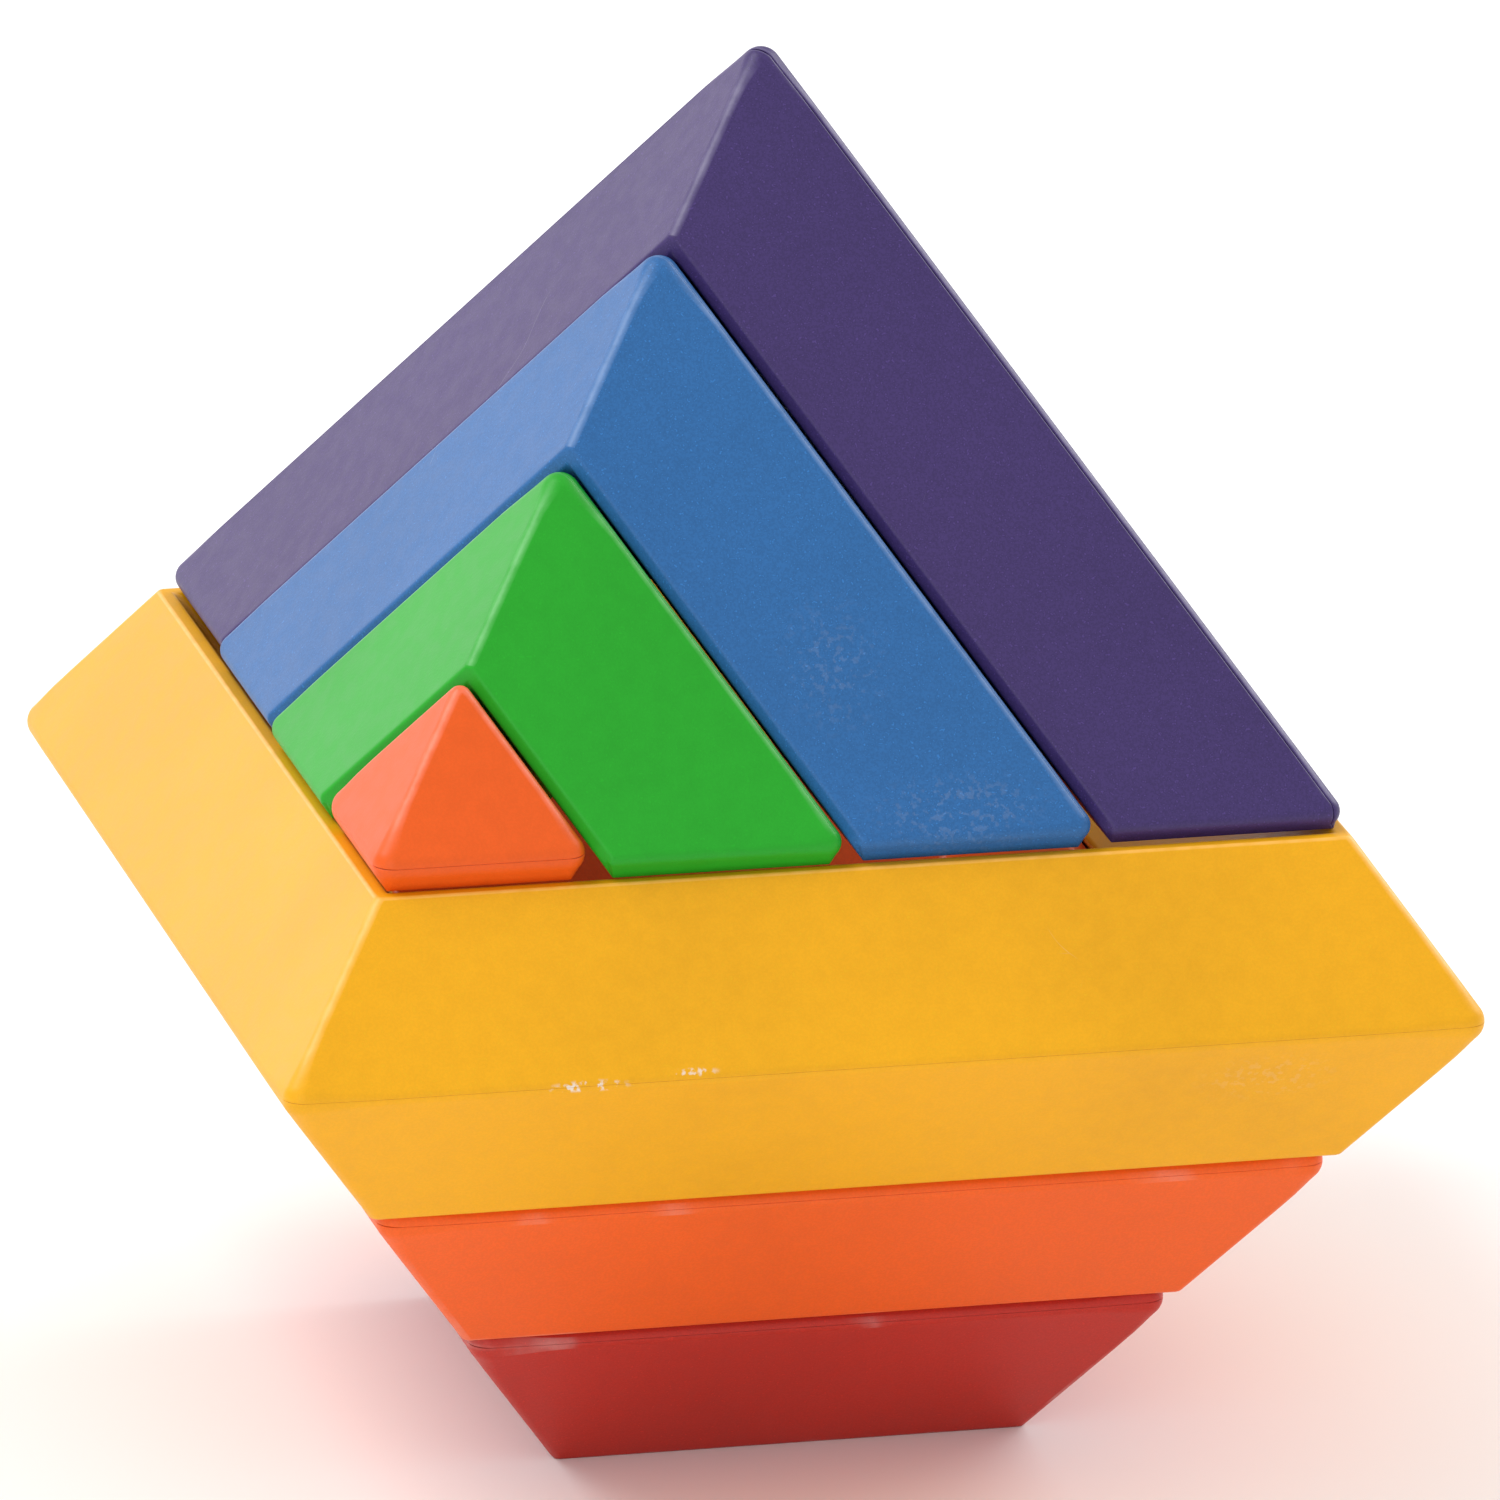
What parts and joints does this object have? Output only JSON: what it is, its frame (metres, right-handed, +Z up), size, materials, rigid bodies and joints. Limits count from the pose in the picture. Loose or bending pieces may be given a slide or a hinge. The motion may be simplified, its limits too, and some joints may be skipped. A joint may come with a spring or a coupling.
{
  "type": "pyramid stacking puzzle",
  "caption": "Stacking puzzle of nested square rings carrying nested upright arches and a small pyramid tip, which lift off one another.",
  "frame": {"origin": "centre of the footprint, on the surface that the lowest ring stands on", "axes": "+Z up; +X and +Y run along the sides of the square rings; the arches and the tip stand towards the corner at -X -Y"},
  "size_m": [0.1466, 0.1466, 0.1676],
  "materials": {
    "red_plastic": "satin injection-moulded plastic with a very fine texture",
    "orange_plastic": "satin injection-moulded plastic with a very fine texture",
    "yellow_plastic": "satin injection-moulded plastic with a very fine texture",
    "purple_plastic": "satin injection-moulded plastic with a very fine texture",
    "blue_plastic": "satin injection-moulded plastic with a very fine texture",
    "green_plastic": "satin injection-moulded plastic with a very fine texture",
    "tip_plastic": "satin injection-moulded plastic with a very fine texture"
  },
  "bodies": {
    "red_ring": {"red_ring_lower": "red_plastic", "red_ring_upper": "red_plastic"},
    "orange_ring": {"orange_ring_lower": "orange_plastic", "orange_ring_upper": "orange_plastic"},
    "yellow_ring": {"yellow_ring_lower": "yellow_plastic", "yellow_ring_upper": "yellow_plastic"},
    "purple_arch": {"purple_arch_back": "purple_plastic", "purple_arch_front": "purple_plastic"},
    "blue_arch": {"blue_arch_back": "blue_plastic", "blue_arch_front": "blue_plastic"},
    "green_arch": {"green_arch_back": "green_plastic", "green_arch_front": "green_plastic"},
    "tip": {"tip_base": "tip_plastic", "tip_shell": "tip_plastic"}
  },
  "joints": [
    {"name": "orange_ring_lift", "type": "slide", "parent": "red_ring", "child": "orange_ring", "axis": [0, 0, 1], "range_m": [0, 0.06]},
    {"name": "yellow_ring_lift", "type": "slide", "parent": "orange_ring", "child": "yellow_ring", "axis": [0, 0, 1], "range_m": [0, 0.06]},
    {"name": "purple_arch_lift", "type": "slide", "parent": "yellow_ring", "child": "purple_arch", "axis": [0, 0, 1], "range_m": [0, 0.1]},
    {"name": "blue_arch_slide", "type": "slide", "parent": "purple_arch", "child": "blue_arch", "axis": [-0.6124, -0.6124, 0.5], "range_m": [0, 0.08]},
    {"name": "green_arch_slide", "type": "slide", "parent": "blue_arch", "child": "green_arch", "axis": [-0.6124, -0.6124, 0.5], "range_m": [0, 0.07]},
    {"name": "tip_slide", "type": "slide", "parent": "green_arch", "child": "tip", "axis": [-0.6124, -0.6124, 0.5], "range_m": [0, 0.06]}
  ]
}
